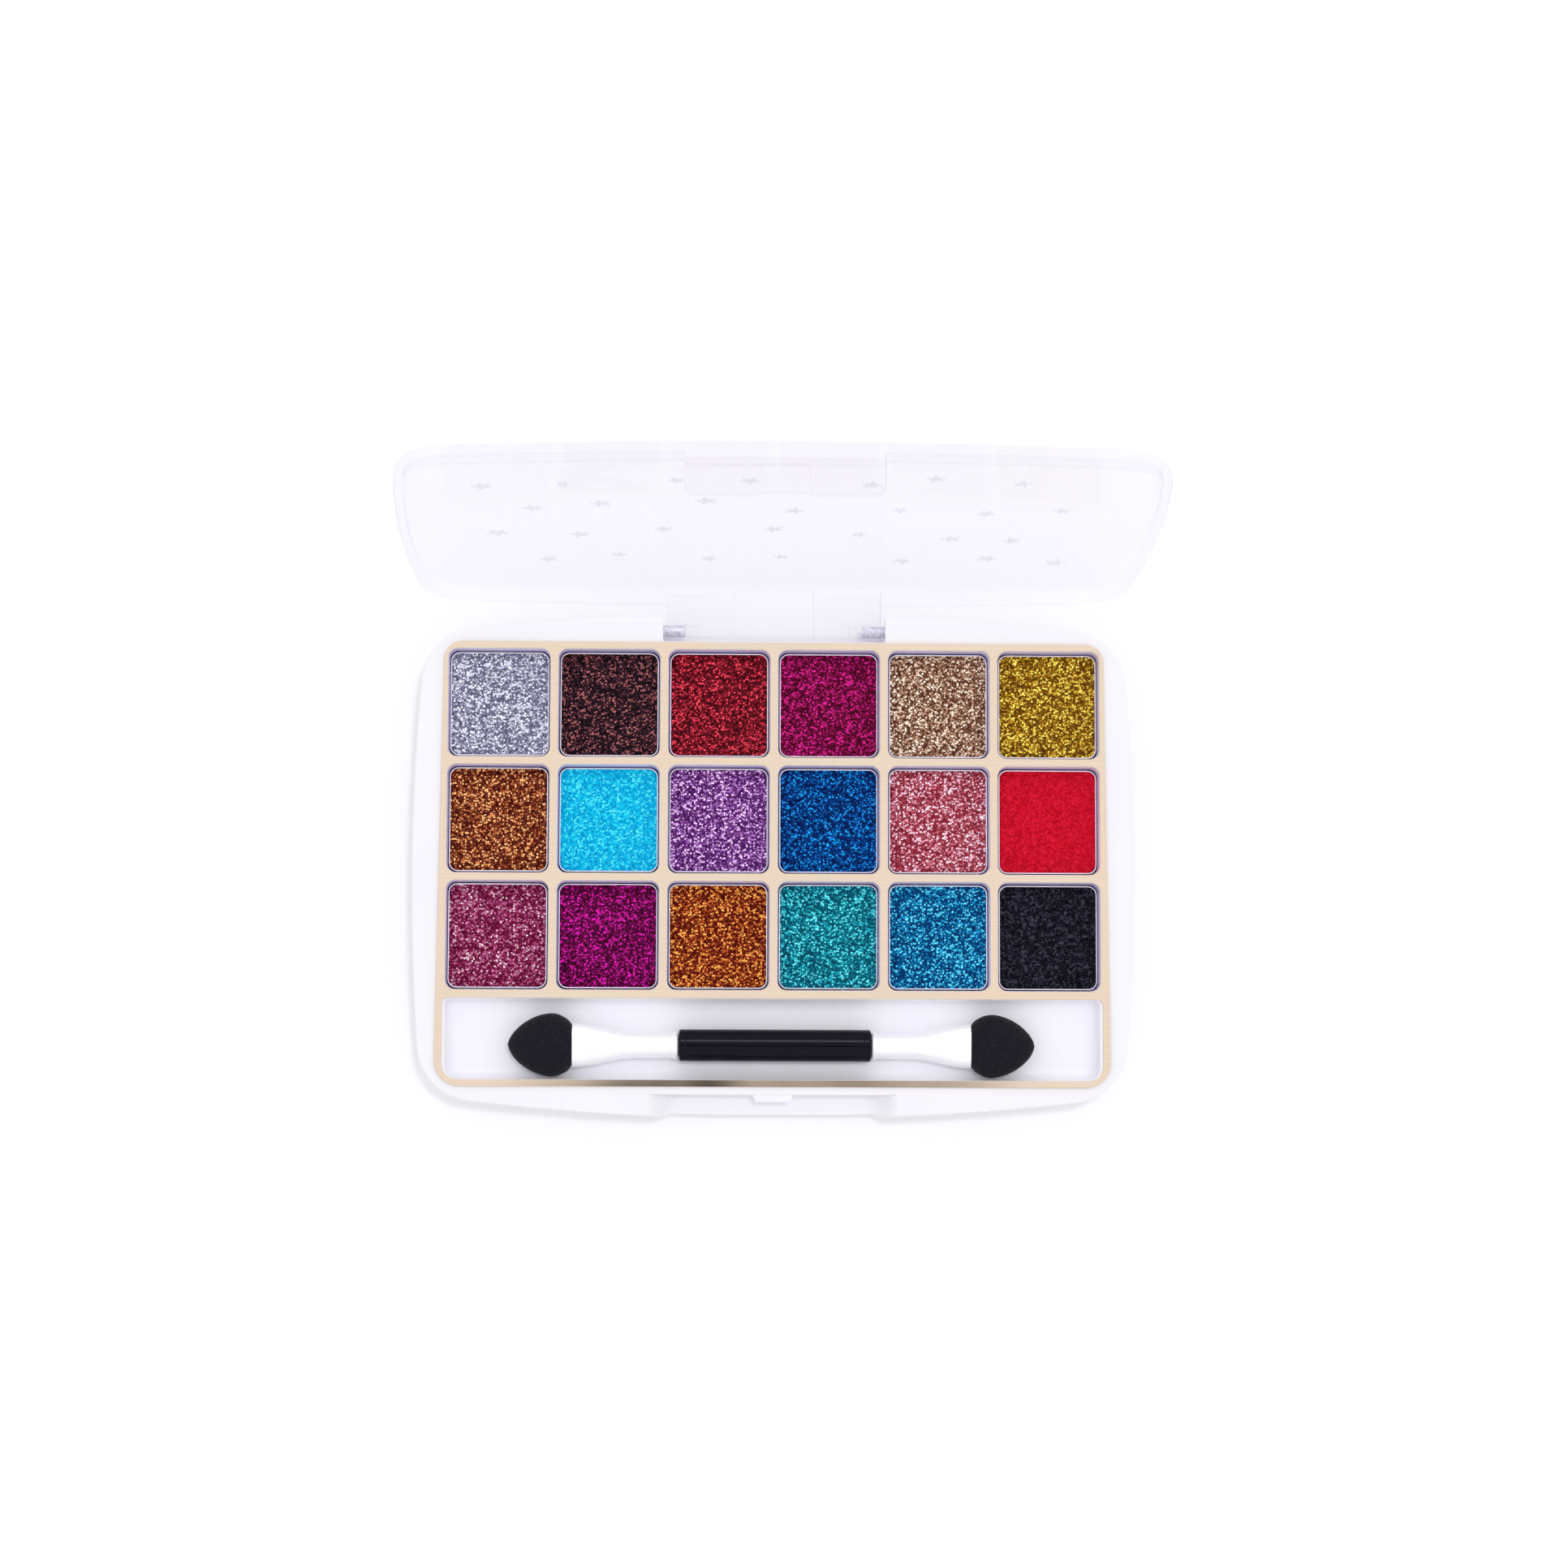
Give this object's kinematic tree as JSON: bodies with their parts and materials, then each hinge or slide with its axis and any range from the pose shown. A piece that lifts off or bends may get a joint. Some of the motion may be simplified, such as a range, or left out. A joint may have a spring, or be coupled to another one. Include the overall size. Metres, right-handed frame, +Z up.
{
  "type": "eyeshadow palette",
  "caption": "Flat white compact with a clear hinged lid, pressed glitter shadows in metal pans under a gold face plate, and a loose sponge applicator in a front trough.",
  "frame": {"origin": "centre of the case's underside, on the surface the palette stands on", "axes": "+X to the right along the long side, +Y from the front edge to the hinge, +Z up; the lid stands open at rest"},
  "size_m": [0.1, 0.0826, 0.0722],
  "materials": {
    "case_white": "satin-gloss moulded white with a faint lavender tint",
    "tray_white": "satin moulded white with a faint lavender tint",
    "brushed_gold": "pale gold, finely brushed along X",
    "lid_clear": "polished clear polystyrene",
    "pin_steel": "knurled bright steel",
    "pan_tin": "bright pressed metal",
    "handle_black": "gloss black",
    "ferrule_silver": "satin silver tube",
    "sponge_foam": "fine black open-cell foam",
    "shadow_r1c1": "pressed glitter, silver",
    "shadow_r1c2": "pressed glitter, black with copper",
    "shadow_r1c3": "pressed glitter, red on dark red",
    "shadow_r1c4": "pressed glitter, hot magenta",
    "shadow_r1c5": "pressed glitter, champagne gold",
    "shadow_r1c6": "pressed glitter, yellow gold",
    "shadow_r2c1": "pressed glitter, copper orange",
    "shadow_r2c2": "pressed glitter, sky blue, fine",
    "shadow_r2c3": "pressed glitter, lavender purple",
    "shadow_r2c4": "pressed glitter, royal blue",
    "shadow_r2c5": "pressed glitter, coral pink",
    "shadow_r2c6": "pressed glitter, plain bright red, fine",
    "shadow_r3c1": "pressed glitter, raspberry with mixed flakes",
    "shadow_r3c2": "pressed glitter, magenta purple",
    "shadow_r3c3": "pressed glitter, orange on brown",
    "shadow_r3c4": "pressed glitter, turquoise",
    "shadow_r3c5": "pressed glitter, bright blue",
    "shadow_r3c6": "pressed glitter, black, fine"
  },
  "bodies": {
    "base": {"base_case": "case_white", "inner_tray": "tray_white", "gold_face_plate": "brushed_gold", "hinge_pin_left": "pin_steel", "hinge_pin_right": "pin_steel", "pan_r1c1": "pan_tin", "pan_r1c2": "pan_tin", "pan_r1c3": "pan_tin", "pan_r1c4": "pan_tin", "pan_r1c5": "pan_tin", "pan_r1c6": "pan_tin", "pan_r2c1": "pan_tin", "pan_r2c2": "pan_tin", "pan_r2c3": "pan_tin", "pan_r2c4": "pan_tin", "pan_r2c5": "pan_tin", "pan_r2c6": "pan_tin", "pan_r3c1": "pan_tin", "pan_r3c2": "pan_tin", "pan_r3c3": "pan_tin", "pan_r3c4": "pan_tin", "pan_r3c5": "pan_tin", "pan_r3c6": "pan_tin", "shadow_r1c1": "shadow_r1c1", "shadow_r1c2": "shadow_r1c2", "shadow_r1c3": "shadow_r1c3", "shadow_r1c4": "shadow_r1c4", "shadow_r1c5": "shadow_r1c5", "shadow_r1c6": "shadow_r1c6", "shadow_r2c1": "shadow_r2c1", "shadow_r2c2": "shadow_r2c2", "shadow_r2c3": "shadow_r2c3", "shadow_r2c4": "shadow_r2c4", "shadow_r2c5": "shadow_r2c5", "shadow_r2c6": "shadow_r2c6", "shadow_r3c1": "shadow_r3c1", "shadow_r3c2": "shadow_r3c2", "shadow_r3c3": "shadow_r3c3", "shadow_r3c4": "shadow_r3c4", "shadow_r3c5": "shadow_r3c5", "shadow_r3c6": "shadow_r3c6"},
    "lid": {"lid": "lid_clear"},
    "applicator": {"applicator_handle": "handle_black", "ferrule_left": "ferrule_silver", "ferrule_right": "ferrule_silver", "sponge_left": "sponge_foam", "sponge_right": "sponge_foam"}
  },
  "joints": [
    {"name": "lid_hinge", "type": "hinge", "parent": "base", "child": "lid", "pos_m": [0, 0.033, 0.0046], "axis": [-1, 0, 0], "range_deg": [-96.6, 0]},
    {"name": "applicator_lift", "type": "slide", "parent": "base", "child": "applicator", "axis": [0, 0, 1], "range_m": [0, 0.03]}
  ]
}
